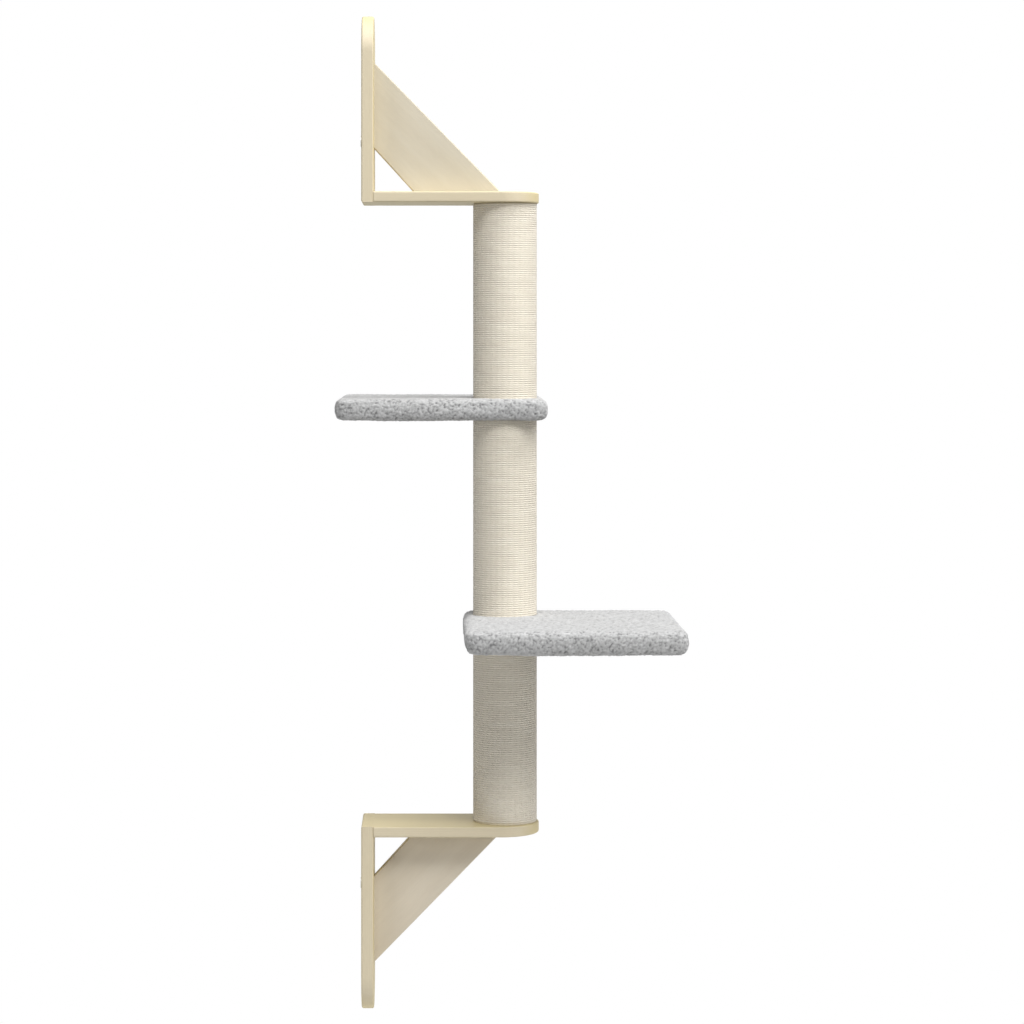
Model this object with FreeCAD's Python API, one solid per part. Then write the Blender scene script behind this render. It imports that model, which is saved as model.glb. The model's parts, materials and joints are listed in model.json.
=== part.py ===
import FreeCAD, Part

import math
import os

# A wall mounted cat tree, in millimetres. +X points out of the wall, +Y runs along it and +Z is up.
# X = 0 is the wall's face, Y = 0 the middle of the boards, and Z = 0 the middle of the four screw
# holes in the lower wall plate. Two plywood brackets hold a rope-wound post in three sections,
# and two plush-covered platforms are clamped between the sections.

Vector = FreeCAD.Vector
UP = Vector(0, 0, 1)
OUTWARD = Vector(1, 0, 0)

# Bracket boards
plate_thickness = 15.0
shelf_thickness = 13.2
board_width = 95.0
board_bevel = 1.2  # eased edges of the boards
plate_height = 232.0  # from the shelf's post face to the plate's round tip
shelf_reach = 219.0  # from the wall to the shelf's round end
post_offset = 177.0  # from the wall to the post's axis
gusset_inner_reach = 50.0  # where the band's two slopes meet the shelf, from the corner of the boards
gusset_outer_reach = 158.0
gusset_inner_drop = 55.0  # and where they meet the plate
gusset_outer_drop = 161.5
gusset_thickness = 15.0
gusset_toe = 4.0  # the thin points of the band are cut off square at this height, clear of the bolt's head
gusset_bevel = 1.0  # eased edges of the band

# Screw holes for the wall
wall_hole_radius = 2.5
wall_hole_spacing_y = 64.0
wall_hole_spacing_z = 130.0
wall_hole_edge = 35.0  # from the shelf's post face to the nearer pair of holes

# Chipboard screws from the back of the plate into the end of the shelf: they cut their own seats
shelf_screw_radius = 2.0
shelf_screw_head_radius = 4.0
shelf_screw_length = 45.0
shelf_screw_spacing = 56.0

# Flat-headed screw from the back of the plate into the gusset
gusset_screw_radius = 3.0
gusset_screw_head_radius = 6.8
gusset_screw_head_height = 1.8
gusset_screw_length = 48.0
gusset_screw_place = 64.2  # below the shelf
screw_clearance = 0.25  # round a screw or bolt in the board that its head pulls on
gusset_screw_socket = 4.0  # across the flats
gusset_screw_socket_depth = 1.2

# Post sections
lower_section_length = 235.0
middle_section_length = 252.5
upper_section_length = 246.5
tube_radius = 36.75
tube_wall = 4.0
rope_thickness = 2.75
end_disc_thickness = 15.0
sleeve_nut_flats = 13.0  # hexagonal sleeve nut through each end disc, across the flats

# Threaded rods
thread_radius = 4.0
thread_engagement = 14.0  # length of rod in a sleeve nut
rod_clearance = 0.5  # round a rod where it passes a deck
shelf_bolt_head_radius = 7.5
shelf_bolt_socket = 5.0  # across the flats
shelf_bolt_socket_depth = 2.6

# Platforms
deck_side = 250.0
deck_thickness = 15.0
deck_near_edge = 46.0  # from the post's axis to the two nearer edges of the deck
plush_thickness = 5.75
plush_corner_radius = 12.0
plush_edge_bevel = 6.0  # the covered edge, as a plain bevel of its rounding
return_width = 30.0  # how far the plush is turned in under the deck
post_clearance = 0.5  # round the post where it stands in the plush

# Staples that hold the turned-in plush
staple_crown = 10.0
staple_leg = 14.0
staple_wire = 0.7
staple_width = 1.2
staples_per_side = 3

# What follows from the sizes above
post_radius = tube_radius + rope_thickness
disc_radius = tube_radius - tube_wall
post_opening_radius = post_radius + post_clearance
platform_thickness = deck_thickness + 2 * plush_thickness
lower_shelf_face = wall_hole_edge + wall_hole_spacing_z / 2
lower_section_foot = lower_shelf_face
lower_section_top = lower_section_foot + lower_section_length
middle_section_foot = lower_section_top + deck_thickness
middle_section_top = middle_section_foot + middle_section_length
upper_section_foot = middle_section_top + deck_thickness
upper_shelf_face = upper_section_foot + upper_section_length

SECTIONS = {
    "lower": (lower_section_foot, lower_section_length),
    "middle": (middle_section_foot, middle_section_length),
    "upper": (upper_section_foot, upper_section_length),
}
BRACKETS = ("lower", "upper")
SAME_PLACE = 1e-6


# Shapes that several pieces share

def turned(profile, foot, direction):
    """Solid of revolution from (radius, height) corners; height 0 is at foot and runs along direction."""
    corners = [Vector(radius, 0, height) for radius, height in profile]
    face = Part.Face(Part.makePolygon(corners + corners[:1]))
    solid = face.revolve(Vector(0, 0, 0), UP, 360)
    solid.Placement = FreeCAD.Placement(foot, FreeCAD.Rotation(UP, direction))
    return solid


def hexagon_prism(across_flats, depth, foot, direction):
    """Six-sided prism: a sleeve nut's outside, or the cutter of a screw's key socket."""
    corner_radius = across_flats / math.sqrt(3)
    angles = [math.radians(60 * i) for i in range(7)]
    corners = [Vector(corner_radius * math.cos(a), corner_radius * math.sin(a), 0) for a in angles]
    prism = Part.Face(Part.makePolygon(corners)).extrude(Vector(0, 0, depth))
    prism.Placement = FreeCAD.Placement(foot, FreeCAD.Rotation(UP, direction))
    return prism


def edges_in_plane(shape, axis, value):
    """Edges that lie in the plane where one coordinate (0, 1 or 2) has this value."""
    found = []
    for edge in shape.Edges:
        points = [vertex.Point for vertex in edge.Vertexes] + [edge.CenterOfMass]
        if all(abs(point[axis] - value) < SAME_PLACE for point in points):
            found.append(edge)
    return found


def edges_outside(edges, others):
    """The edges that are not among the others."""
    return [edge for edge in edges if not any(edge.isSame(other) for other in others)]


def ring(inner_radius, outer_radius, foot, length):
    """Round tube round the post's axis."""
    profile = [(inner_radius, 0), (outer_radius, 0), (outer_radius, length), (inner_radius, length)]
    return turned(profile, at_post(foot), UP)


def round_ended_board(start, along, across, length, thickness):
    """Board that runs from the middle of its square end to a half-round end; thickness is a vector."""
    half = across * (board_width / 2)
    shoulder = start + along * (length - board_width / 2)
    tip = start + along * length
    outline = [
        Part.makeLine(start - half, shoulder - half),
        Part.Arc(shoulder - half, tip, shoulder + half).toShape(),
        Part.makeLine(shoulder + half, start + half),
        Part.makeLine(start + half, start - half),
    ]
    return Part.Face(Part.Wire(outline)).extrude(thickness)


def in_bracket(shape, bracket):
    """Places a piece that is drawn for the lower bracket, with its shelf's post face at height 0."""
    if bracket == "upper":
        placed = shape.mirror(Vector(0, 0, 0), UP)
        placed.translate(Vector(0, 0, upper_shelf_face))
        return placed
    placed = shape.copy()
    placed.translate(Vector(0, 0, lower_shelf_face))
    return placed


# Bracket pieces, drawn for the lower bracket: the plate hangs down from the shelf

def shelf_screws():
    """Countersunk screws, flush with the back of the plate, in the middle of the shelf's edge."""
    profile = [
        (0, 0),
        (shelf_screw_head_radius, 0),
        (shelf_screw_radius, shelf_screw_head_radius - shelf_screw_radius),
        (shelf_screw_radius, shelf_screw_length),
        (0, shelf_screw_length),
    ]
    height = -shelf_thickness / 2
    sides = (-shelf_screw_spacing / 2, shelf_screw_spacing / 2)
    return [turned(profile, Vector(0, y, height), OUTWARD) for y in sides]


def gusset_screw_shank(clearance=0.0):
    """The part of the gusset screw that lies in the plate and the gusset."""
    radius = gusset_screw_radius + clearance
    under_head = Vector(0, 0, -shelf_thickness - gusset_screw_place)
    return Part.makeCylinder(radius, gusset_screw_length, under_head, OUTWARD)


def gusset_screw():
    """Screw with a flat head that stands proud of the plate's back."""
    head_top = Vector(-gusset_screw_head_height, 0, -shelf_thickness - gusset_screw_place)
    head = Part.makeCylinder(gusset_screw_head_radius, gusset_screw_head_height, head_top, OUTWARD)
    socket = hexagon_prism(gusset_screw_socket, gusset_screw_socket_depth, head_top, OUTWARD)
    return gusset_screw_shank().fuse(head).cut(socket).removeSplitter()


def shelf_bolt(clearance=0.0):
    """Countersunk bolt, flush with the shelf's far face, that screws into the end of the post."""
    radius = thread_radius + clearance
    length = shelf_thickness + thread_engagement
    profile = [
        (0, 0),
        (shelf_bolt_head_radius, 0),
        (radius, shelf_bolt_head_radius - radius),
        (radius, length),
        (0, length),
    ]
    return turned(profile, Vector(post_offset, 0, -shelf_thickness), UP)


def shelf_bolt_with_socket():
    """The shelf bolt with its key socket."""
    mouth = Vector(post_offset, 0, -shelf_thickness)
    socket = hexagon_prism(shelf_bolt_socket, shelf_bolt_socket_depth, mouth, UP)
    return shelf_bolt().cut(socket)


def wall_holes():
    """Cutters of the four wall screw holes, beside the gusset."""
    cutters = []
    for y in (-wall_hole_spacing_y / 2, wall_hole_spacing_y / 2):
        for z in (-wall_hole_edge, -wall_hole_edge - wall_hole_spacing_z):
            cutters.append(Part.makeCylinder(wall_hole_radius, plate_thickness, Vector(0, y, z), OUTWARD))
    return cutters


def wall_plate():
    """Upright board on the wall; its square end is flush with the shelf's post face."""
    board = round_ended_board(
        Vector(0, 0, 0), -UP, Vector(0, 1, 0), plate_height, OUTWARD * plate_thickness
    )
    back = edges_in_plane(board, 0, 0)
    front = edges_in_plane(board, 0, plate_thickness)
    end = edges_in_plane(board, 2, 0)
    shelf_joint = [edge for edge in end if any(edge.isSame(other) for other in front)]
    eased = back + edges_outside(front, shelf_joint) + edges_outside(end, back + shelf_joint)
    board = board.makeChamfer(board_bevel, eased)
    return board.cut(wall_holes() + [gusset_screw_shank(screw_clearance)])


def shelf():
    """Level board that butts against the plate and carries the end of the post."""
    board = round_ended_board(
        OUTWARD * plate_thickness,
        OUTWARD,
        Vector(0, 1, 0),
        shelf_reach - plate_thickness,
        -UP * shelf_thickness,
    )
    butt_end = edges_in_plane(board, 0, plate_thickness)
    faces = edges_in_plane(board, 2, 0) + edges_in_plane(board, 2, -shelf_thickness)
    board = board.makeChamfer(board_bevel, edges_outside(faces, butt_end))
    return board.cut(shelf_bolt(screw_clearance))


def gusset():
    """Diagonal band between plate and shelf, mitred at both ends and on edge in the middle."""
    shelf_toe = gusset_outer_reach * (1 - gusset_toe / gusset_outer_drop)
    plate_toe = gusset_outer_drop * (1 - gusset_toe / gusset_outer_reach)
    outline = [  # (out from the plate, down from the shelf)
        (gusset_inner_reach, 0),
        (shelf_toe, 0),
        (shelf_toe, gusset_toe),
        (gusset_toe, plate_toe),
        (0, plate_toe),
        (0, gusset_inner_drop),
    ]
    near_side = -gusset_thickness / 2
    corners = [Vector(plate_thickness + x, near_side, -shelf_thickness - down) for x, down in outline]
    face = Part.Face(Part.makePolygon(corners + corners[:1]))
    band = face.extrude(Vector(0, gusset_thickness, 0))
    sloping = []
    for side in (near_side, -near_side):
        for edge in edges_in_plane(band, 1, side):
            direction = edge.tangentAt(edge.FirstParameter)
            if abs(direction.x) > 0.5 and abs(direction.z) > 0.5:
                sloping.append(edge)
    band = band.makeChamfer(gusset_bevel, sloping)
    return band.cut(gusset_screw_shank())


# Post pieces

def at_post(height):
    """The point on the post's axis at this height."""
    return Vector(post_offset, 0, height)


def end_disc(mouth, inward):
    """Wooden disc in the end of a tube, with a hexagonal bore for its sleeve nut."""
    disc = Part.makeCylinder(disc_radius, end_disc_thickness, mouth, inward)
    return disc.cut(hexagon_prism(sleeve_nut_flats, end_disc_thickness, mouth, inward))


def sleeve_nut(mouth, inward):
    """Hexagonal threaded sleeve, flush with both faces of its disc."""
    sleeve = hexagon_prism(sleeve_nut_flats, end_disc_thickness, mouth, inward)
    return sleeve.cut(Part.makeCylinder(thread_radius, end_disc_thickness, mouth, inward))


def platform_stud(section_top):
    """Threaded rod that joins two post sections through the deck between them."""
    length = deck_thickness + 2 * thread_engagement
    return Part.makeCylinder(thread_radius, length, at_post(section_top - thread_engagement))


# Platform pieces, drawn round the post's axis with the underside at height 0: the deck reaches
# out of the wall and towards -Y

def slab(inset, low, high):
    """Square slab with its sides this far inside the deck's own (outside if negative)."""
    far = deck_side - deck_near_edge - inset
    near = deck_near_edge - inset
    return Part.makeBox(near + far, near + far, high - low, Vector(-near, -far, low))


def deck():
    """Board inside the platform, clamped between the ends of two post sections."""
    board = slab(0, plush_thickness, plush_thickness + deck_thickness)
    return board.cut(Part.makeCylinder(thread_radius + rod_clearance, platform_thickness))


def post_opening():
    """Cutter of the round openings in the plush, above and below the deck, where the post stands."""
    return Part.makeCylinder(post_opening_radius, platform_thickness)


def underside_panel():
    """Panel that fills the window in the turned-in plush."""
    return slab(return_width, 0, plush_thickness).cut(post_opening())


def plush_cover():
    """Plush over the top and sides of the deck, turned in under it all round."""
    outer = slab(-plush_thickness, 0, platform_thickness)
    upright = [edge for edge in outer.Edges if abs(edge.tangentAt(edge.FirstParameter).z) > 0.5]
    outer = outer.makeFillet(plush_corner_radius, upright)
    rims = edges_in_plane(outer, 2, 0) + edges_in_plane(outer, 2, platform_thickness)
    outer = outer.makeChamfer(plush_edge_bevel, rims)
    inside = slab(0, plush_thickness, plush_thickness + deck_thickness)
    window = slab(return_width, 0, plush_thickness)
    return outer.cut([inside, window, post_opening()])


def staple():
    """Staple with its crown's underside at height 0, along X, and its legs up."""
    half = staple_crown / 2
    inner = half - staple_wire
    outline = [
        (-half, 0),
        (half, 0),
        (half, staple_leg),
        (inner, staple_leg),
        (inner, staple_wire),
        (-inner, staple_wire),
        (-inner, staple_leg),
        (-half, staple_leg),
    ]
    corners = [Vector(x, -staple_width / 2, z) for x, z in outline]
    return Part.Face(Part.makePolygon(corners + corners[:1])).extrude(Vector(0, staple_width, 0))


def cover_staples():
    """Staples along the middle of the turned-in plush, left out where the post stands."""
    line = deck_side / 2 - return_width / 2
    centre = Vector(deck_side / 2 - deck_near_edge, deck_near_edge - deck_side / 2, 0)
    pitch = 2 * line / (staples_per_side + 1)
    staples = []
    for quarter in range(4):
        for i in range(staples_per_side):
            piece = staple()
            piece.translate(Vector((i + 1) * pitch - line, -line, 0))
            piece.rotate(Vector(0, 0, 0), UP, 90 * quarter)
            piece.translate(centre)
            place = piece.CenterOfMass
            if math.hypot(place.x, place.y) > post_opening_radius + staple_crown:
                staples.append(piece)
    return Part.makeCompound(staples)


def on_post(shape, section_top, turn):
    """Places a platform piece with its deck on a post section, turned by an angle about the post."""
    placed = shape.copy()
    placed.rotate(Vector(0, 0, 0), UP, turn)
    placed.translate(at_post(section_top - plush_thickness))
    return placed


# The assembly

def bracket_nodes():
    """Boards of both brackets, and their fasteners as groups."""
    nodes = {}
    groups = {"shelf_screws": [], "gusset_screws": [], "shelf_bolts": []}
    for bracket in BRACKETS:
        boards = {"wall_plate": wall_plate(), "shelf": shelf(), "gusset": gusset()}
        for name, board in boards.items():
            nodes[bracket + "_" + name] = in_bracket(board, bracket)
        groups["shelf_screws"] += [in_bracket(screw, bracket) for screw in shelf_screws()]
        groups["gusset_screws"].append(in_bracket(gusset_screw(), bracket))
        groups["shelf_bolts"].append(in_bracket(shelf_bolt_with_socket(), bracket))
    for name, pieces in groups.items():
        nodes[name] = Part.makeCompound(pieces)
    return nodes


def post_nodes():
    """Rope windings, and the tubes, end discs, sleeve nuts and studs as groups."""
    nodes = {}
    groups = {"post_tubes": [], "post_end_discs": [], "sleeve_nuts": []}
    for section, (foot, length) in SECTIONS.items():
        nodes[section + "_rope"] = ring(tube_radius, post_radius, foot, length)
        groups["post_tubes"].append(ring(disc_radius, tube_radius, foot, length))
        for mouth, inward in ((at_post(foot), UP), (at_post(foot + length), -UP)):
            groups["post_end_discs"].append(end_disc(mouth, inward))
            groups["sleeve_nuts"].append(sleeve_nut(mouth, inward))
    groups["platform_studs"] = [platform_stud(lower_section_top), platform_stud(middle_section_top)]
    for name, pieces in groups.items():
        nodes[name] = Part.makeCompound(pieces)
    return nodes


def platform_nodes():
    """The two platforms, which point opposite ways."""
    pieces = {
        "platform_deck": deck(),
        "platform_cover": plush_cover(),
        "platform_underside": underside_panel(),
        "platform_staples": cover_staples(),
    }
    nodes = {}
    for platform, top, turn in (("lower", lower_section_top, 0), ("upper", middle_section_top, 180)):
        for name, piece in pieces.items():
            nodes[platform + "_" + name] = on_post(piece, top, turn)
    return nodes


def main():
    os.makedirs("parts", exist_ok=True)
    for nodes in (bracket_nodes(), post_nodes(), platform_nodes()):
        for name, shape in nodes.items():
            shape.exportStep("parts/" + name + ".step")


main()
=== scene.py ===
"""Wall mounted cat tree: plywood brackets, a rope-wound post and two plush platforms, in metres."""

import json
import math

import bpy
import numpy as np
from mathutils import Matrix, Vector

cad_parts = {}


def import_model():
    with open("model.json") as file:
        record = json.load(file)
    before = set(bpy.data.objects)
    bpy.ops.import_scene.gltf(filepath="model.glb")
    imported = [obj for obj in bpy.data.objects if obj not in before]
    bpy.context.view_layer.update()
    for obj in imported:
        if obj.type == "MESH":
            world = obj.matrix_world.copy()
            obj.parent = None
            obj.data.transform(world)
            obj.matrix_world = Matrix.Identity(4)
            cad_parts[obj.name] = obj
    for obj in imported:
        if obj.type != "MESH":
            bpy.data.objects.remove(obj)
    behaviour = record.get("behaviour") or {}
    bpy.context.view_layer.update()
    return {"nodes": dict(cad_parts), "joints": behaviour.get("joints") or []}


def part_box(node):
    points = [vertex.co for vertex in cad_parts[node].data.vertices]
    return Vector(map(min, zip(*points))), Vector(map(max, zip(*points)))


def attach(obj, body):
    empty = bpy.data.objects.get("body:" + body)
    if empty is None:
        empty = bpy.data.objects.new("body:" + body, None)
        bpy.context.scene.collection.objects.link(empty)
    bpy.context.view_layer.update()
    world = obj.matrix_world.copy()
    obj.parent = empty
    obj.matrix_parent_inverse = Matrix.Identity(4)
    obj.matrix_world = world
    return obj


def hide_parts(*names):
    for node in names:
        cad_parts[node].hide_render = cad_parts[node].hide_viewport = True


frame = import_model()

TINY = 1e-5
POST_X = frame["joints"][0]["pos_m"][0]
BRACKETS = (("lower", -1), ("upper", 1))  # with the way in which each plate points from its shelf

# Boards
ARRIS = 0.002  # radius of the boards' eased edges
BAND_ARRIS = 0.0016  # and of the gusset's
ARRIS_STEPS = 3
END_STEPS = 20  # facets in a quarter of a board's round end
SMOOTH_ANGLE = math.radians(40)
WALL_HOLE = 0.0025
WALL_HOLE_Y = 0.032
WALL_HOLE_ROWS = (0.035, 0.165)  # from the shelf's post face
GUSSET_SCREW_ROW = 0.0774
GUSSET_SCREW_HOLE = 0.00325
HOLE_OVERCUT = 0.01  # how far the cutter of a hole runs past the plate
GUSSET_SLOPES = ((0.158, 0.1615), (0.050, 0.055))  # where the outer and the inner one meet shelf and plate
GUSSET_TIP = 0.0025  # how much further its thin tip runs on the plate
SHELF_SCREW_Y = 0.028
SHELF_SCREW_HEAD = 0.004
SHELF_SCREW_SHANK = 0.002
SHELF_SCREW_LENGTH = 0.045
SHELF_SCREW_TIP = 0.0012
SHELF_SCREW_DEPTH = 0.0004  # of its head below the plate's back
SCREW_SINK_MARGIN = 0.0013  # of the sink's mouth round the head
SLOT_HALF_LENGTH = 0.0021
SLOT_HALF_WIDTH = 0.0004
SLOT_DEPTH = 0.0012
SHELF_BOLT_HOLE = 0.00425
SHELF_BOLT_SINK = 0.0085
BOLT_SINK_LIFT = 0.0007  # of the sink's widest ring over the shelf's face
PLY_SPACING = 0.00272  # from one darker ply to the next

# Rope
ROPE = 0.00275
ROPE_PITCH = 0.00266
ROPE_SIDES = 8
ROPE_SQUEEZE = 0.30  # how far the turns press each other square
TURN_STEPS = 64

# Plush
PLUSH = 0.00575
DECK = 0.015
NEAR_EDGE = 0.046  # from the post's axis to the nearer edges of the deck
FAR_EDGE = 0.204
PLUSH_CORNER = 0.014  # radius of the covered corners, seen from above
CORNER_STEPS = 8
EDGE_ROUND = 0.0095  # radius of the covered edges
EDGE_STEPS = 6
RETURN = 0.030  # width of the plush that is turned in under the deck
RETURN_CORNER = 0.006
POST_OPENING = 0.0398
LOWER_HANG = 0.0015  # how much lower the covering hangs under the lower deck
PANEL_GAP = 0.0003  # round the panel in its window
PANEL_ROUND = 0.002
PILE_GRID = 0.00105
PILE_HEIGHT = 0.0019  # from the hollows of the curls to their tips
CLOTH_GRID = 0.0045
CLOTH_FRAMES = 20
MOST_SWELL = 0.0016
HELD_BY_POST = 0.047  # radius within which the post holds the covering
HELD_BY_STAPLES = 0.004  # and how far on either side of the staples' line they do

# Light and camera
FILL_STRENGTH = 0.17
LAMP_AIM = (POST_X, 0, 0.5)
LAMPS = (  # name, place, size, power
    ("key", (2.93, -3.04, 3.38), 1.4, 86.0),
    ("top", (0.18, -0.48, 4.34), 1.9, 36.0),
    ("top_front", (0.37, -2.88, 4.18), 1.9, 101.0),
    ("top_right", (1.97, -0.48, 4.34), 1.6, 103.0),
    ("right", (4.34, -1.44, 1.30), 1.9, 29.0),
    ("left", (-3.02, -3.52, 0.98), 1.9, 35.0),
)
FLOOR_RADIUS = 1.45
FLOOR_HEIGHT = -0.62
CAMERA_PLACE = (0.0909, -3.350, 0.6989)
LENS = 94.98
SHIFT = (0.0747, -0.1709)


# ---------------------------------------------------------------- working by hand

def only(piece):
    """Makes one piece the selected and active one, in object mode."""
    if bpy.context.mode != "OBJECT":
        bpy.ops.object.mode_set(mode="OBJECT")
    bpy.ops.object.select_all(action="DESELECT")
    piece.select_set(True)
    bpy.context.view_layer.objects.active = piece


def named(name):
    """The primitive that was just added, with its place in its mesh, under this name."""
    piece = bpy.context.object
    piece.name = piece.data.name = name
    only(piece)
    bpy.ops.object.transform_apply(location=True, rotation=True, scale=True)
    return piece


def block(name, low, high):
    """A box between two corners."""
    low, high = Vector(low), Vector(high)
    bpy.ops.mesh.primitive_cube_add(size=1, location=(low + high) / 2, scale=high - low)
    return named(name)


def rod(name, radius, start, end, sides=40, end_radius=None):
    """A round bar or cone between two points on one axis."""
    start, end = Vector(start), Vector(end)
    turn = (end - start).to_track_quat("Z", "Y").to_euler()
    bpy.ops.mesh.primitive_cone_add(
        vertices=sides,
        radius1=radius,
        radius2=radius if end_radius is None else end_radius,
        depth=(end - start).length,
        location=(start + end) / 2,
        rotation=turn,
    )
    return named(name)


def pick(piece, kind, wanted):
    """Selects the faces or edges that pass a test on their corners' places, and stays in edit mode."""
    only(piece)
    bpy.ops.object.mode_set(mode="EDIT")
    bpy.ops.mesh.select_mode(type=kind)
    bpy.ops.mesh.select_all(action="DESELECT")
    bpy.ops.object.mode_set(mode="OBJECT")
    mesh = piece.data
    for element in mesh.polygons if kind == "FACE" else mesh.edges:
        element.select = wanted([mesh.vertices[i].co for i in element.vertices])
    bpy.ops.object.mode_set(mode="EDIT")


def bevel(width, steps):
    """Rounds the selected edges."""
    bpy.ops.mesh.bevel(
        offset=width, offset_type="OFFSET", segments=steps, affect="EDGES", clamp_overlap=False
    )
    bpy.ops.mesh.select_all(action="SELECT")
    bpy.ops.mesh.remove_doubles(threshold=TINY / 2)
    bpy.ops.object.mode_set(mode="OBJECT")


def finish_modifiers(piece):
    """Applies all that is on the piece."""
    only(piece)
    for modifier in list(piece.modifiers):
        bpy.ops.object.modifier_apply(modifier=modifier.name)


def cut(piece, cutters):
    """Takes the cutters out of the piece, one after the other."""
    for cutter in cutters:
        hollow = piece.modifiers.new("cut", "BOOLEAN")
        hollow.operation = "DIFFERENCE"
        hollow.solver = "EXACT"
        hollow.object = cutter
        finish_modifiers(piece)
        bpy.data.objects.remove(cutter)


def join(name, pieces):
    """Makes several meshes one piece."""
    only(pieces[0])
    for piece in pieces[1:]:
        piece.select_set(True)
    bpy.ops.object.join()
    pieces[0].name = pieces[0].data.name = name
    return pieces[0]


def even_shading(piece):
    """Smooth over the small roundings, flat on the large faces, sharp at real corners."""
    only(piece)
    bpy.ops.object.shade_smooth_by_angle(angle=SMOOTH_ANGLE)
    even = piece.modifiers.new("even", "WEIGHTED_NORMAL")
    even.keep_sharp = True
    finish_modifiers(piece)


def fit(piece, body, slot, finish, *nodes):
    """Gives the finished piece its body and its material, and hides the nodes that it stands for; slot is
    not used.
    """
    piece.data.materials.clear()
    piece.data.materials.append(finish)
    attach(piece, body)
    if nodes:
        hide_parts(*nodes)


def same(a, b):
    """Whether two lengths are equal."""
    return abs(a - b) < TINY


def points_of(piece):
    """The places of the mesh's vertices, as rows."""
    places = np.empty(len(piece.data.vertices) * 3)
    piece.data.vertices.foreach_get("co", places)
    return places.reshape(-1, 3)


def normals_of(piece):
    """The directions in which the mesh faces at its vertices, as rows."""
    normals = np.empty(len(piece.data.vertices) * 3)
    piece.data.vertices.foreach_get("normal", normals)
    return normals.reshape(-1, 3)


def move_points(piece, places):
    """Puts the mesh's vertices at these places."""
    piece.data.vertices.foreach_set("co", places.ravel())
    piece.data.update()


# ---------------------------------------------------------------- materials

def node(tree, kind, sockets=(), **settings):
    """Adds a node, sets its options and fills its inputs with values or other nodes' outputs."""
    made = tree.nodes.new("ShaderNode" + kind)
    for option, value in settings.items():
        setattr(made, option, value)
    for socket, value in dict(sockets).items():
        if isinstance(value, bpy.types.NodeSocket):
            tree.links.new(value, made.inputs[socket])
        else:
            made.inputs[socket].default_value = value
    return made


def ramp(tree, factor, *stops):
    """Colour ramp through (place, colour) stops."""
    made = node(tree, "ValToRGB", {"Fac": factor})
    elements = made.color_ramp.elements
    while len(elements) < len(stops):
        elements.new(0.5)
    for element, (place, colour) in zip(elements, stops):
        element.position = place
        element.color = (*colour, 1)
    return made.outputs["Color"]


def grey(value):
    """A colour without a tint."""
    return (value, value, value)


def surface(name, **constants):
    """A new material: its node tree, its shader and the object's own coordinates."""
    made = bpy.data.materials.new(name)
    made.use_nodes = True
    tree = made.node_tree
    shader = tree.nodes["Principled BSDF"]
    for socket, value in constants.items():
        shader.inputs[socket.replace("_", " ")].default_value = value
    return made, tree, shader, node(tree, "TexCoord").outputs["Object"]


def feed(tree, shader, **sources):
    """Links outputs to the shader's inputs."""
    for socket, source in sources.items():
        tree.links.new(source, shader.inputs[socket.replace("_", " ")])


def stretched(tree, place, turn, size):
    """Coordinates turned along a grain, in units of size."""
    sockets = {"Vector": place, "Rotation": turn, "Scale": size}
    return node(tree, "Mapping", sockets, vector_type="TEXTURE").outputs["Vector"]


def relief(tree, height, depth, strength=1.0, normal=None):
    """Bump of a real depth."""
    sockets = {"Height": height, "Distance": depth, "Strength": strength}
    if normal is not None:
        sockets["Normal"] = normal
    return node(tree, "Bump", sockets).outputs["Normal"]


def noise(tree, place, scale, detail, roughness=0.5, distortion=0.0):
    """Value of a noise."""
    sockets = {
        "Vector": place,
        "Scale": scale,
        "Detail": detail,
        "Roughness": roughness,
        "Distortion": distortion,
    }
    return node(tree, "TexNoise", sockets).outputs["Fac"]


def calculate(tree, operation, *values):
    """One number from others."""
    return node(tree, "Math", dict(enumerate(values)), operation=operation).outputs[0]


def times(tree, first, second):
    """Product of two colours."""
    sockets = {"Fac": 1.0, "Color1": first, "Color2": second}
    return node(tree, "MixRGB", sockets, blend_type="MULTIPLY").outputs[0]


def between(tree, value, low, high):
    """A value from 0 to 1, spread between two others."""
    return node(tree, "MapRange", {"Value": value, "To Min": low, "To Max": high}).outputs[0]


def board_wood(name, turn, through, sides, others):
    """Pale plywood with its grain along the board; through is the axis across the plies.

    sides tints the faces that look along the wall, where plates and shelves show their sawn
    edges and the gussets their broad faces, and others tints the rest. Both are partly painted
    light: the warmer veneer tint holds painted warm bounced light, and the gussets' tints are
    painted light and shade.
    """
    made, tree, shader, place = surface(name, IOR=1.45)
    figure = noise(tree, stretched(tree, place, turn, (0.30, 0.022, 0.022)), 1.0, 5.0, 0.55, 0.5)
    fibre = noise(tree, stretched(tree, place, turn, (0.014, 0.0007, 0.0007)), 1.0, 3.0, 0.6)
    split = node(tree, "SeparateXYZ", {"Vector": place})
    layer = calculate(tree, "MULTIPLY", split.outputs[through], 2 * math.pi / PLY_SPACING)
    tone = ramp(
        tree,
        figure,
        (0.30, (0.625, 0.545, 0.390)),
        (0.52, (0.648, 0.570, 0.412)),
        (0.72, (0.670, 0.594, 0.436)),
    )
    fine = ramp(tree, fibre, (0.35, grey(0.955)), (0.62, grey(1.0)))
    ply = ramp(tree, calculate(tree, "SINE", layer), (0.0, (0.985, 0.980, 0.970)), (0.35, grey(1.0)))
    normal = node(tree, "SeparateXYZ", {"Vector": node(tree, "TexCoord").outputs["Normal"]})
    facing = calculate(tree, "ABSOLUTE", normal.outputs["Y"])
    # Tint by the way a face looks: partly the boards' own colour, partly painted light.
    tint_and_painted_light = ramp(tree, facing, (0.45, others), (0.90, sides))
    feed(
        tree,
        shader,
        Base_Color=times(tree, times(tree, times(tree, tone, fine), ply), tint_and_painted_light),
        Roughness=between(tree, fibre, 0.42, 0.58),
        Normal=relief(tree, fibre, 0.00006),
    )
    return made


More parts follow.
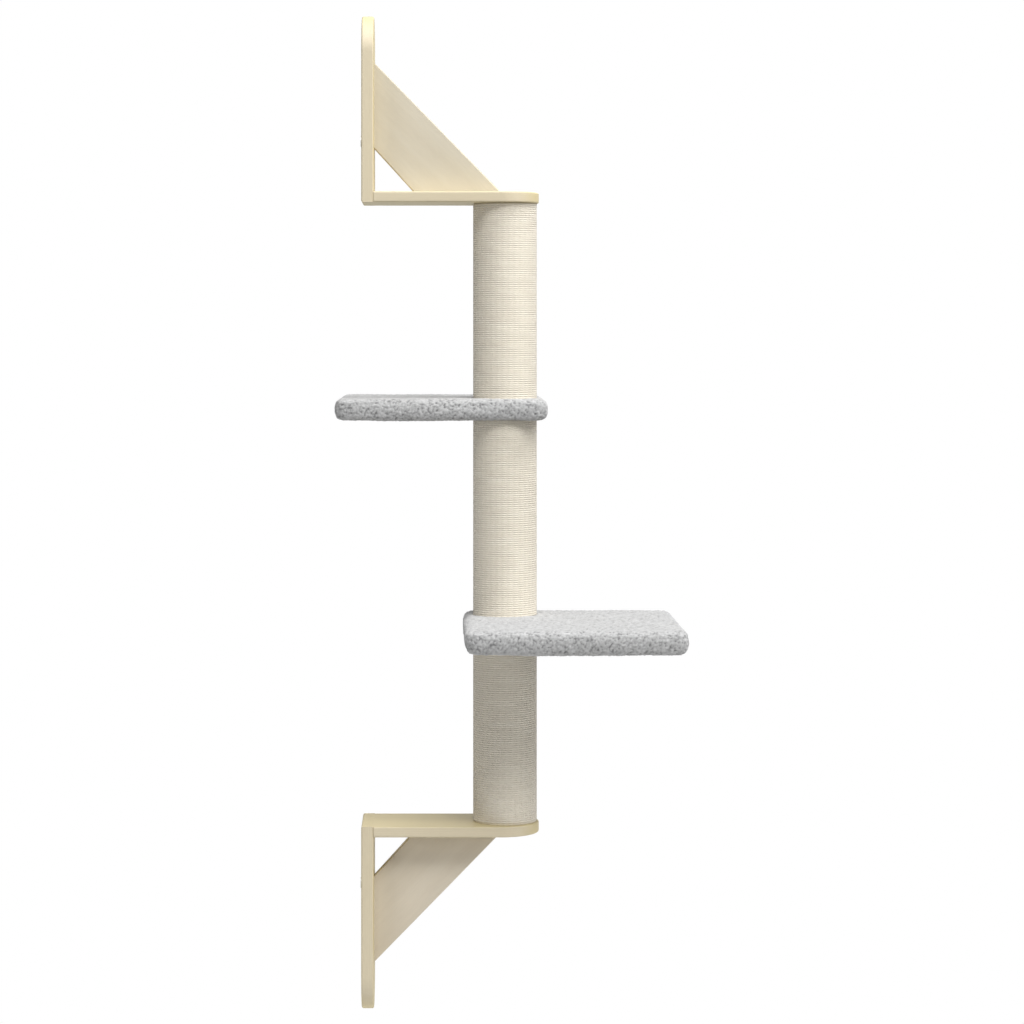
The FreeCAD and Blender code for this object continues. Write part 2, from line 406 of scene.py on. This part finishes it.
def sisal():
    """Cream twisted rope, with painted shade darkening the grooves between its strands; its UV map has
    turns along U and the way round the rope on V.
    """
    made, tree, shader, place = surface("sisal_rope", Sheen_Weight=0.15, Sheen_Roughness=0.5)
    uv = node(tree, "UVMap", uv_map="winding").outputs["UV"]
    split = node(tree, "SeparateXYZ", {"Vector": uv})
    lay = calculate(tree, "MULTIPLY", split.outputs["X"], 34.0)
    strand = calculate(tree, "MULTIPLY_ADD", split.outputs["Y"], 3.0, lay)
    wave = calculate(tree, "SINE", calculate(tree, "MULTIPLY", strand, math.pi))
    twist = calculate(tree, "ABSOLUTE", wave)
    fibre = noise(tree, place, 1300.0, 3.0, 0.65)
    tone = ramp(
        tree,
        noise(tree, stretched(tree, place, (0, 0, 0), (0.03, 0.03, 0.004)), 1.0, 2.0),
        (0.30, (0.790, 0.725, 0.610)),
        (0.55, (0.825, 0.765, 0.645)),
        (0.75, (0.855, 0.800, 0.685)),
    )
    fine = ramp(tree, fibre, (0.32, grey(0.86)), (0.60, grey(1.0)))
    # Painted shade: the colour darkens where the strands meet, in the grooves between them.
    groove_shade = ramp(tree, twist, (0.0, grey(0.90)), (0.40, grey(1.0)))
    bumps = relief(tree, twist, 0.00025, 0.8)
    feed(
        tree,
        shader,
        Base_Color=times(tree, times(tree, tone, fine), groove_shade),
        Roughness=between(tree, fibre, 0.82, 0.98),
        Normal=relief(tree, fibre, 0.00012, 0.8, bumps),
    )
    return made


def plush():
    """Light grey curly pile, its hollows painted darker as shade below its pale tips; the attribute pile
    is the curls' height.
    """
    made, tree, shader, place = surface("grey_plush", Sheen_Weight=0.35, Sheen_Roughness=0.6)
    pile = node(tree, "Attribute", attribute_name="pile").outputs["Fac"]
    hair = noise(tree, place, 1500.0, 3.0, 0.7)
    patch = noise(tree, place, 55.0, 2.0)
    # Painted shade: the colour darkens from the curls' tips down into their hollows.
    tone = ramp(tree, pile, (0.20, grey(0.20)), (0.46, grey(0.44)), (0.80, grey(0.58)))
    fine = ramp(tree, hair, (0.30, grey(0.80)), (0.62, grey(1.0)))
    wide = ramp(tree, patch, (0.35, grey(0.95)), (0.65, grey(1.0)))
    feed(
        tree,
        shader,
        Base_Color=times(tree, times(tree, tone, fine), wide),
        Roughness=between(tree, hair, 0.88, 1.0),
        Normal=relief(tree, hair, 0.0004, 0.7),
    )
    return made


def zinc():
    """Bright zinc plated steel."""
    made, tree, shader, place = surface("zinc_steel", Metallic=1.0)
    flecks = noise(tree, place, 900.0, 4.0, 0.6)
    feed(
        tree,
        shader,
        Base_Color=ramp(tree, flecks, (0.35, (0.50, 0.50, 0.49)), (0.65, (0.60, 0.60, 0.58))),
        Roughness=between(tree, flecks, 0.28, 0.42),
        Normal=relief(tree, flecks, 0.00003),
    )
    return made


def raw_board(name, dark, light, size):
    """Unfinished wood, chips or paper, from a noise of this size."""
    made, tree, shader, place = surface(name)
    chips = noise(tree, stretched(tree, place, (0, 0, 0), size), 1.0, 6.0, 0.65)
    feed(
        tree,
        shader,
        Base_Color=ramp(tree, chips, (0.3, dark), (0.7, light)),
        Roughness=between(tree, chips, 0.75, 0.95),
        Normal=relief(tree, chips, 0.0002),
    )
    return made


SAWN = (1.0, 1.0, 1.0)
# The yellower tint of faces that don't look along the wall is partly the veneer's own colour and partly
# painted warm bounced light.
VENEER_AND_WARM_LIGHT = (1.0, 0.965, 0.77)
PLATE_WOOD = board_wood("plate_plywood", (0, math.radians(90), 0), "X", SAWN, VENEER_AND_WARM_LIGHT)
SHELF_WOOD = board_wood("shelf_plywood", (0, 0, 0), "Z", SAWN, VENEER_AND_WARM_LIGHT)
# Painted light: each gusset's broad faces get their own tint, the upper one darker than the lower, so the
# two are lit and shaded copies of one plywood.
GUSSET_WOOD_PAINTED_LIGHT = {
    bracket: board_wood(bracket + "_gusset_plywood", (0, math.radians(45 * way), 0), "Y", tint_and_painted_light, SAWN)
    for (bracket, way), tint_and_painted_light in zip(BRACKETS, ((0.98, 1.0, 1.12), (0.90, 0.935, 1.04)))
}
ROPE_FINISH = sisal()
PLUSH_FINISH = plush()
STEEL = zinc()
INNER_FINISHES = {
    "post_tubes": raw_board("paper_tube", (0.30, 0.20, 0.11), (0.42, 0.30, 0.18), (0.006, 0.006, 0.05)),
    "post_end_discs": raw_board("disc_wood", (0.50, 0.36, 0.19), (0.66, 0.50, 0.30), (0.05, 0.003, 0.003)),
    "upper_platform_deck": raw_board(
        "chip_board", (0.36, 0.25, 0.13), (0.56, 0.41, 0.24), (0.004, 0.004, 0.004)
    ),
}
INNER_FINISHES["lower_platform_deck"] = INNER_FINISHES["upper_platform_deck"]
for fastener in (
    "gusset_screws", "shelf_bolts", "sleeve_nuts", "platform_studs",
    "upper_platform_staples", "lower_platform_staples",
):
    INNER_FINISHES[fastener] = STEEL


# ---------------------------------------------------------------- brackets

def ease_arrises(board, axis, low, high, left_sharp):
    """Rounds the arrises round a board's two large faces, which cross this axis."""
    def wanted(ends):
        on_face = any(all(same(end[axis], side[axis]) for end in ends) for side in (low, high))
        return on_face and not left_sharp(ends)
    pick(board, "EDGE", wanted)
    bevel(ARRIS, ARRIS_STEPS)


def round_end(board, at_tip, radius):
    """Makes a board's square end half round."""
    pick(board, "EDGE", lambda ends: all(at_tip(end) for end in ends) and same(ends[0].y, ends[1].y))
    bevel(radius, END_STEPS)


def plate_board(bracket, way):
    """Upright board; way is 1 where it points up from its shelf and -1 where it points down."""
    low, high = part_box(bracket + "_wall_plate")
    shelf_low, shelf_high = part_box(bracket + "_shelf")
    tip, foot = (high.z, low.z) if way > 0 else (low.z, high.z)
    board = block(bracket + "_plate_board", low, high)
    round_end(board, lambda end: same(end.z, tip), (high.y - low.y) / 2)
    ease_arrises(
        board, 0, low, high,
        lambda ends: all(same(end.z, foot) and same(end.x, high.x) for end in ends),
    )
    cutters = []
    start, end = low.x - HOLE_OVERCUT, high.x + HOLE_OVERCUT
    for y in (-WALL_HOLE_Y, WALL_HOLE_Y):
        for row in WALL_HOLE_ROWS:
            z = foot + way * row
            cutters.append(rod("hole", WALL_HOLE, (start, y, z), (end, y, z)))
    z = foot + way * GUSSET_SCREW_ROW
    cutters.append(rod("hole", GUSSET_SCREW_HOLE, (start, 0, z), (end, 0, z)))
    z = (shelf_low.z + shelf_high.z) / 2
    sink = SHELF_SCREW_HEAD + SCREW_SINK_MARGIN
    for y in (-SHELF_SCREW_Y, SHELF_SCREW_Y):
        mouth, bottom = (low.x - 0.001, y, z), (low.x + sink - 0.001, y, z)
        cutters.append(rod("sink", sink, mouth, bottom, end_radius=0.0003))
    cut(board, cutters)
    even_shading(board)
    fit(board, "post_and_brackets", "bracket_plywood", PLATE_WOOD, bracket + "_wall_plate")


def shelf_board(bracket, way):
    """Level board that carries the post; way is the side on which its gusset stands."""
    low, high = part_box(bracket + "_shelf")
    board = block(bracket + "_shelf_board", low, high)
    round_end(board, lambda end: same(end.x, high.x), (high.y - low.y) / 2)
    ease_arrises(board, 2, low, high, lambda ends: all(same(end.x, low.x) for end in ends))
    outer, inner = (high.z, low.z) if way > 0 else (low.z, high.z)
    hole, sink = SHELF_BOLT_HOLE, SHELF_BOLT_SINK
    mouth = (POST_X, 0, outer + way * BOLT_SINK_LIFT)
    bottom = (POST_X, 0, outer + way * (BOLT_SINK_LIFT - sink + hole))
    cut(board, [
        rod("hole", hole, (POST_X, 0, inner - way * 0.005), (POST_X, 0, outer - way * 0.002)),
        rod("sink", sink, mouth, bottom, end_radius=hole),
    ])
    even_shading(board)
    fit(board, "post_and_brackets", "bracket_plywood", SHELF_WOOD, bracket + "_shelf")


def gusset_band(bracket, way):
    """Mitred band between plate and shelf, sawn from a square block along its two slopes."""
    low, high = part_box(bracket + "_gusset")
    corner_z, tip = (low.z, high.z + GUSSET_TIP) if way > 0 else (high.z, low.z - GUSSET_TIP)
    bottom, top = min(corner_z, tip), max(corner_z, tip)
    band = block(bracket + "_gusset_band", (low.x, low.y, bottom), (high.x, high.y, top))
    only(band)
    bpy.ops.object.mode_set(mode="EDIT")
    for outer, (reach, drop) in zip((True, False), GUSSET_SLOPES):
        bpy.ops.mesh.select_all(action="SELECT")
        bpy.ops.mesh.bisect(
            plane_co=(low.x + reach, 0, corner_z),
            plane_no=Vector((drop, 0, way * reach)).normalized(),
            use_fill=True,
            clear_outer=outer,
            clear_inner=not outer,
        )
    bpy.ops.object.mode_set(mode="OBJECT")

    def sloping(ends):
        run = ends[1] - ends[0]
        return same(run.y, 0) and abs(run.x) > TINY and abs(run.z) > TINY
    pick(band, "EDGE", sloping)
    bevel(BAND_ARRIS, ARRIS_STEPS)
    even_shading(band)
    fit(band, "post_and_brackets", "bracket_plywood", GUSSET_WOOD_PAINTED_LIGHT[bracket], bracket + "_gusset")


def shelf_screws():
    """Countersunk screws with crossed slots, in the backs of the plates."""
    screws = []
    for bracket, _ in BRACKETS:
        low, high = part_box(bracket + "_shelf")
        z = (low.z + high.z) / 2
        for y in (-SHELF_SCREW_Y, SHELF_SCREW_Y):
            face = SHELF_SCREW_DEPTH
            neck = face + SHELF_SCREW_HEAD - SHELF_SCREW_SHANK
            end = (SHELF_SCREW_LENGTH, y, z)
            head = rod("head", SHELF_SCREW_HEAD, (face, y, z), (neck, y, z), 32, SHELF_SCREW_SHANK)
            slots = []
            for dy, dz in ((SLOT_HALF_LENGTH, SLOT_HALF_WIDTH), (SLOT_HALF_WIDTH, SLOT_HALF_LENGTH)):
                slots.append(block("slot", (-0.001, y - dy, z - dz), (face + SLOT_DEPTH, y + dy, z + dz)))
            cut(head, slots)
            shank = rod("shank", SHELF_SCREW_SHANK, (neck, y, z), end, 16, SHELF_SCREW_TIP)
            screws += [head, shank]
    screws = join("shelf_screw_set", screws)
    even_shading(screws)
    fit(screws, "post_and_brackets", "zinc_steel", STEEL, "shelf_screws")


# ---------------------------------------------------------------- rope

def rope_winding(section):
    """One section's rope, wound close, its first and last turns lying flat and tucked under."""
    low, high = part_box(section + "_rope")
    radius = ROPE / 2
    reach = (high.x - low.x) / 2 - radius
    rise = high.z - low.z - ROPE
    turns = round(rise / ROPE_PITCH)
    pitch = rise / turns
    bpy.ops.mesh.primitive_circle_add(
        vertices=ROPE_SIDES, radius=radius, location=(reach, 0, 0), rotation=(math.radians(90), 0, 0)
    )
    rope = named(section + "_rope_winding")
    profile = points_of(rope)
    squeezed = np.abs((profile[:, 0] - reach) * profile[:, 2]) > TINY**1.5
    profile[squeezed] += ROPE_SQUEEZE * (profile[squeezed] - (reach, 0, 0))
    move_points(rope, profile)
    wind = rope.modifiers.new("wind", "SCREW")
    wind.axis = "Z"
    wind.angle = 2 * math.pi
    wind.screw_offset = pitch
    wind.iterations = turns + 2
    wind.steps = wind.render_steps = TURN_STEPS
    wind.use_smooth_shade = True
    finish_modifiers(rope)

    places = points_of(rope)
    rings = np.arange(len(places)) // ROPE_SIDES
    turn = rings / TURN_STEPS - 1
    places[:, 2] += low.z + radius + pitch * (np.clip(turn, 0, turns) - turn - 1)
    tucked = np.clip(np.maximum(-turn, turn - turns), 0, 1)
    inward = 0.9 * ROPE * tucked**2 * (3 - 2 * tucked)
    out = np.hypot(places[:, 0], places[:, 1])
    places[:, :2] *= (1 - inward / out)[:, None]
    places[:, 0] += POST_X
    move_points(rope, places)

    only(rope)
    bpy.ops.object.mode_set(mode="EDIT")
    bpy.ops.mesh.select_all(action="DESELECT")
    bpy.ops.mesh.select_non_manifold()
    bpy.ops.mesh.edge_face_add()
    bpy.ops.mesh.select_all(action="SELECT")
    bpy.ops.mesh.normals_make_consistent(inside=False)
    bpy.ops.object.mode_set(mode="OBJECT")
    bpy.ops.object.shade_smooth()

    for layer in list(rope.data.uv_layers):
        rope.data.uv_layers.remove(layer)
    layer = rope.data.uv_layers.new(name="winding")
    for face in rope.data.polygons:
        sides = [v % ROPE_SIDES for v in face.vertices]
        wraps = max(sides) - min(sides) > ROPE_SIDES / 2
        for loop, vertex, side in zip(face.loop_indices, face.vertices, sides):
            round_it = side + ROPE_SIDES if wraps and side < ROPE_SIDES / 2 else side
            layer.data[loop].uv = (vertex // ROPE_SIDES / TURN_STEPS, round_it / ROPE_SIDES)
    fit(rope, "post_and_brackets", "sisal_rope", ROPE_FINISH, section + "_rope")


# ---------------------------------------------------------------- platforms

def slab(name, inset, corner, low, high, rim=0.0):
    """Square slab this far inside the sides of the lower deck; corners and rims rounded if asked."""
    piece = block(
        name,
        (POST_X - NEAR_EDGE + inset, -FAR_EDGE + inset, low),
        (POST_X + FAR_EDGE - inset, NEAR_EDGE - inset, high),
    )
    if corner:
        pick(piece, "EDGE", lambda ends: not same(ends[0].z, ends[1].z))
        bevel(corner, CORNER_STEPS)
    if rim:
        pick(piece, "EDGE", lambda ends: any(all(same(end.z, z) for end in ends) for z in (low, high)))
        bevel(rim, EDGE_STEPS)
    return piece


def relax(piece):
    """Evens out the grid's small steps."""
    smoother = piece.modifiers.new("relax", "SMOOTH")
    smoother.iterations = 2
    smoother.factor = 0.5
    finish_modifiers(piece)


def regrid(piece, size):
    """Rebuilds the mesh in even squares."""
    grid = piece.modifiers.new("grid", "REMESH")
    grid.mode = "VOXEL"
    grid.voxel_size = size
    finish_modifiers(piece)


def swell(piece, held):
    """Lets the covering swell a little at its sides and below, and hardly on top or where it is held."""
    regrid(piece, CLOTH_GRID)
    start, normals = points_of(piece), normals_of(piece)
    pins = piece.vertex_groups.new(name="pins")
    pins.add([int(i) for i in np.nonzero(held(start))[0]], 1.0, "REPLACE")
    cloth = piece.modifiers.new("cloth", "CLOTH")
    cloth.settings.quality = 4
    cloth.settings.mass = 0.2
    cloth.settings.tension_stiffness = 12
    cloth.settings.compression_stiffness = 12
    cloth.settings.shear_stiffness = 4
    cloth.settings.bending_stiffness = 0.6
    cloth.settings.use_pressure = True
    cloth.settings.uniform_pressure_force = 4.0
    cloth.settings.effector_weights.gravity = 0
    cloth.settings.vertex_group_mass = "pins"
    scene = bpy.context.scene
    for moment in range(1, CLOTH_FRAMES + 1):
        scene.frame_set(moment)
    finish_modifiers(piece)
    scene.frame_set(1)
    rise = ((points_of(piece) - start) * normals).sum(axis=1)
    rise = np.clip(rise, 0, MOST_SWELL * np.clip(1 - normals[:, 2], 0.1, 1))
    move_points(piece, start + normals * rise[:, None])
    piece.vertex_groups.clear()
    only(piece)
    bpy.ops.object.mode_set(mode="EDIT")
    bpy.ops.mesh.select_all(action="SELECT")
    bpy.ops.mesh.subdivide(smoothness=1.0)
    bpy.ops.object.mode_set(mode="OBJECT")


def curl_texture(name, size):
    """Cloudy texture for the Displace modifier."""
    texture = bpy.data.textures.new(name, type="CLOUDS")
    texture.noise_scale = size
    texture.noise_depth = 2
    return texture


LIE = ((curl_texture("lie", 0.05), 0.0010),)
CURLS = ((curl_texture("curls", 0.0026), 0.0020), (curl_texture("tufts", 0.0060), 0.0010))


def raise_pile(piece, outside):
    """Raises the curls of the pile on the outer faces, and keeps their height in the attribute pile."""
    group = piece.vertex_groups.new(name="outside")
    group.add([int(i) for i in np.nonzero(outside(points_of(piece)))[0]], 1.0, "REPLACE")
    for layer in (LIE, CURLS):
        before, normals = points_of(piece), normals_of(piece)
        for texture, strength in layer:
            curls = piece.modifiers.new(texture.name, "DISPLACE")
            curls.texture = texture
            curls.texture_coords = "LOCAL"
            curls.strength = strength
            curls.mid_level = 0.5
            curls.vertex_group = group.name
        finish_modifiers(piece)
    height = ((points_of(piece) - before) * normals).sum(axis=1)
    share = np.clip(0.5 + height / PILE_HEIGHT, 0, 1)
    pile = piece.data.attributes.new("pile", "FLOAT", "POINT")
    pile.data.foreach_set("value", share.astype(np.float32))
    piece.vertex_groups.clear()


def merge_flats(piece, inside):
    """Merges the small faces that nobody sees, where the covering lies on the deck."""
    pick(piece, "FACE", lambda corners: all(inside(corner) for corner in corners))
    bpy.ops.mesh.dissolve_limited(angle_limit=math.radians(2))
    bpy.ops.object.mode_set(mode="OBJECT")


def plush_pieces():
    """Plush cover and underside panel of the lower platform."""
    low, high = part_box("lower_platform_cover")
    under, deck_low, deck_high = low.z, low.z + PLUSH, low.z + PLUSH + DECK
    off_post = (FAR_EDGE - NEAR_EDGE) / 2
    middle = np.array((POST_X + off_post, -off_post, (deck_low + deck_high) / 2))
    half = np.array((NEAR_EDGE + FAR_EDGE, NEAR_EDGE + FAR_EDGE, DECK)) / 2

    def by_post(places, reach):
        return np.hypot(places[:, 0] - POST_X, places[:, 1]) < reach

    def off_deck(places):
        """How far the places lie outside the deck."""
        return np.linalg.norm(np.maximum(np.abs(places - middle) - half, 0), axis=1)

    cover = slab("plush_cover", -PLUSH, PLUSH_CORNER, low.z, high.z, EDGE_ROUND)
    def held(places):
        ring = np.abs(places[:, :2] - middle[:2]).max(axis=1)
        stapled = np.abs(ring - (half[0] - RETURN / 2)) < HELD_BY_STAPLES
        return by_post(places, HELD_BY_POST) | (stapled & (places[:, 2] < under + 0.002))

    swell(cover, held)
    cutters = [
        slab("deck_room", 0, 0, deck_low, deck_high),
        slab("window", RETURN, RETURN_CORNER, under - 0.01, deck_low + 0.001),
        rod("opening", POST_OPENING, (POST_X, 0, under - 0.02), (POST_X, 0, high.z + 0.02), 96),
    ]
    cut(cover, cutters)
    regrid(cover, PILE_GRID)
    relax(cover)

    def settle_on_deck(places):
        """Lays the inner faces flat on the deck's own."""
        reach = 0.6 * PILE_GRID + 0.0003
        inside = off_deck(places) < reach
        for axis in range(3):
            for side in (middle[axis] - half[axis], middle[axis] + half[axis]):
                places[inside & (np.abs(places[:, axis] - side) < reach), axis] = side
        return places

    move_points(cover, settle_on_deck(points_of(cover)))
    merge_flats(cover, lambda corner: (np.abs(np.array(corner) - middle) <= half + TINY).all())

    def outside_cover(places):
        return ~by_post(places, POST_OPENING + 0.0012) & (off_deck(places) > 0.0005)

    raise_pile(cover, outside_cover)

    panel_low = under + 0.0002
    panel = slab("plush_panel", RETURN + PANEL_GAP, RETURN_CORNER, panel_low, deck_low)
    pick(panel, "EDGE", lambda ends: all(same(end.z, panel_low) for end in ends))
    bevel(PANEL_ROUND, 3)
    cut(panel, [rod("opening", POST_OPENING, (POST_X, 0, under - 0.02), (POST_X, 0, high.z), 96)])
    regrid(panel, PILE_GRID)
    relax(panel)
    merge_flats(panel, lambda corner: corner.z > deck_low - 0.4 * PILE_GRID)

    def outside_panel(places):
        return ~by_post(places, POST_OPENING + 0.0012) & (places[:, 2] < under + 0.003)

    raise_pile(panel, outside_panel)
    for piece in (cover, panel):
        only(piece)
        bpy.ops.object.shade_smooth()
    return cover, panel


def copy_to_upper(piece, name):
    """The same piece on the upper platform, turned half way round the post."""
    other = piece.copy()
    other.data = piece.data.copy()
    other.name = other.data.name = name
    bpy.context.scene.collection.objects.link(other)
    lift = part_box("upper_platform_cover")[0].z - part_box("lower_platform_cover")[0].z
    places = points_of(other)
    places[:, 0] = 2 * POST_X - places[:, 0]
    places[:, 1] *= -1
    places[:, 2] += lift
    move_points(other, places)
    return other


def platforms():
    """Covers and panels of both platforms; the lower ones hang a little under their deck."""
    cover, panel = plush_pieces()
    pieces = {
        "upper": (copy_to_upper(cover, "upper_plush_cover"), copy_to_upper(panel, "upper_plush_panel")),
        "lower": (cover, panel),
    }
    cover.name, panel.name = "lower_plush_cover", "lower_plush_panel"
    for piece in (cover, panel):
        places = points_of(piece)
        under_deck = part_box("lower_platform_deck")[0].z - places[:, 2]
        places[:, 2] -= LOWER_HANG * np.clip(under_deck / PLUSH, 0, 1)
        move_points(piece, places)
    for platform, (top, base) in pieces.items():
        fit(top, platform + "_platform", "grey_plush", PLUSH_FINISH, platform + "_platform_cover")
        fit(base, platform + "_platform", "grey_plush", PLUSH_FINISH, platform + "_platform_underside")


# ---------------------------------------------------------------- stage, lights and camera

def looked_at(tree):
    """1 where the camera, a reflection or something clear looks, 0 for the light on other surfaces."""
    path = node(tree, "LightPath").outputs
    seen = calculate(tree, "MAXIMUM", path["Is Camera Ray"], path["Is Glossy Ray"])
    return calculate(tree, "MAXIMUM", seen, path["Is Transmission Ray"])


def floor():
    """Pale round floor well below the piece, fading into the white round it."""
    middle = (POST_X, 0, FLOOR_HEIGHT)
    bpy.ops.mesh.primitive_circle_add(
        vertices=96, radius=FLOOR_RADIUS, fill_type="NGON", location=middle
    )
    ground = named("floor")
    made, tree, shader, place = surface("floor_white", Roughness=0.9)
    tone = ramp(tree, noise(tree, place, 6.0, 2.0), (0.4, grey(0.86)), (0.6, grey(0.88)))
    feed(tree, shader, Base_Color=tone)
    away = node(tree, "VectorMath", {0: place, 1: middle}, operation="DISTANCE").outputs["Value"]
    fade = node(tree, "MapRange", {"Value": away, "From Min": 0.85, "From Max": 1.4}).outputs[0]
    share = calculate(tree, "MULTIPLY", fade, looked_at(tree))
    white = node(tree, "Emission", {"Color": (1, 1, 1, 1), "Strength": 1.0})
    mixed = node(tree, "MixShader", {0: share, 1: shader.outputs[0], 2: white.outputs[0]})
    tree.links.new(mixed.outputs[0], tree.nodes["Material Output"].inputs["Surface"])
    ground.data.materials.append(made)


def world():
    """White background; a soft even light on the piece."""
    made = bpy.data.worlds.new("studio")
    bpy.context.scene.world = made
    made.use_nodes = True
    tree = made.node_tree
    strength = between(tree, looked_at(tree), FILL_STRENGTH, 1.0)
    tree.links.new(strength, tree.nodes["Background"].inputs["Strength"])
    tree.nodes["Background"].inputs["Color"].default_value = (1, 1, 1, 1)


def lamp(name, place, size, power):
    """Square soft lamp that faces the middle of the post."""
    data = bpy.data.lights.new(name, "AREA")
    data.shape = "SQUARE"
    data.size = size
    data.energy = power
    made = bpy.data.objects.new(name, data)
    bpy.context.scene.collection.objects.link(made)
    made.location = place
    made.rotation_euler = (Vector(LAMP_AIM) - Vector(place)).to_track_quat("-Z", "Y").to_euler()


def camera():
    """Looks along the wall from the side, level, with the lens shifted as in the photograph."""
    data = bpy.data.cameras.new("side")
    data.lens = LENS
    data.sensor_width = 36.0
    data.shift_x, data.shift_y = SHIFT
    made = bpy.data.objects.new("side", data)
    bpy.context.scene.collection.objects.link(made)
    made.location = CAMERA_PLACE
    made.rotation_euler = (math.radians(90), 0, 0)
    bpy.context.scene.camera = made


# ---------------------------------------------------------------- putting it together

bpy.ops.object.select_all(action="DESELECT")
for bracket, way in BRACKETS:
    plate_board(bracket, way)
    shelf_board(bracket, way)
    gusset_band(bracket, way)
shelf_screws()
for section in ("lower", "middle", "upper"):
    rope_winding(section)
platforms()
for inner_node, finish in INNER_FINISHES.items():
    mesh = frame["nodes"][inner_node].data
    mesh.materials.clear()
    mesh.materials.append(finish)

floor()
world()
for lamp_row in LAMPS:
    lamp(*lamp_row)
camera()
bpy.context.scene.view_settings.view_transform = "Standard"
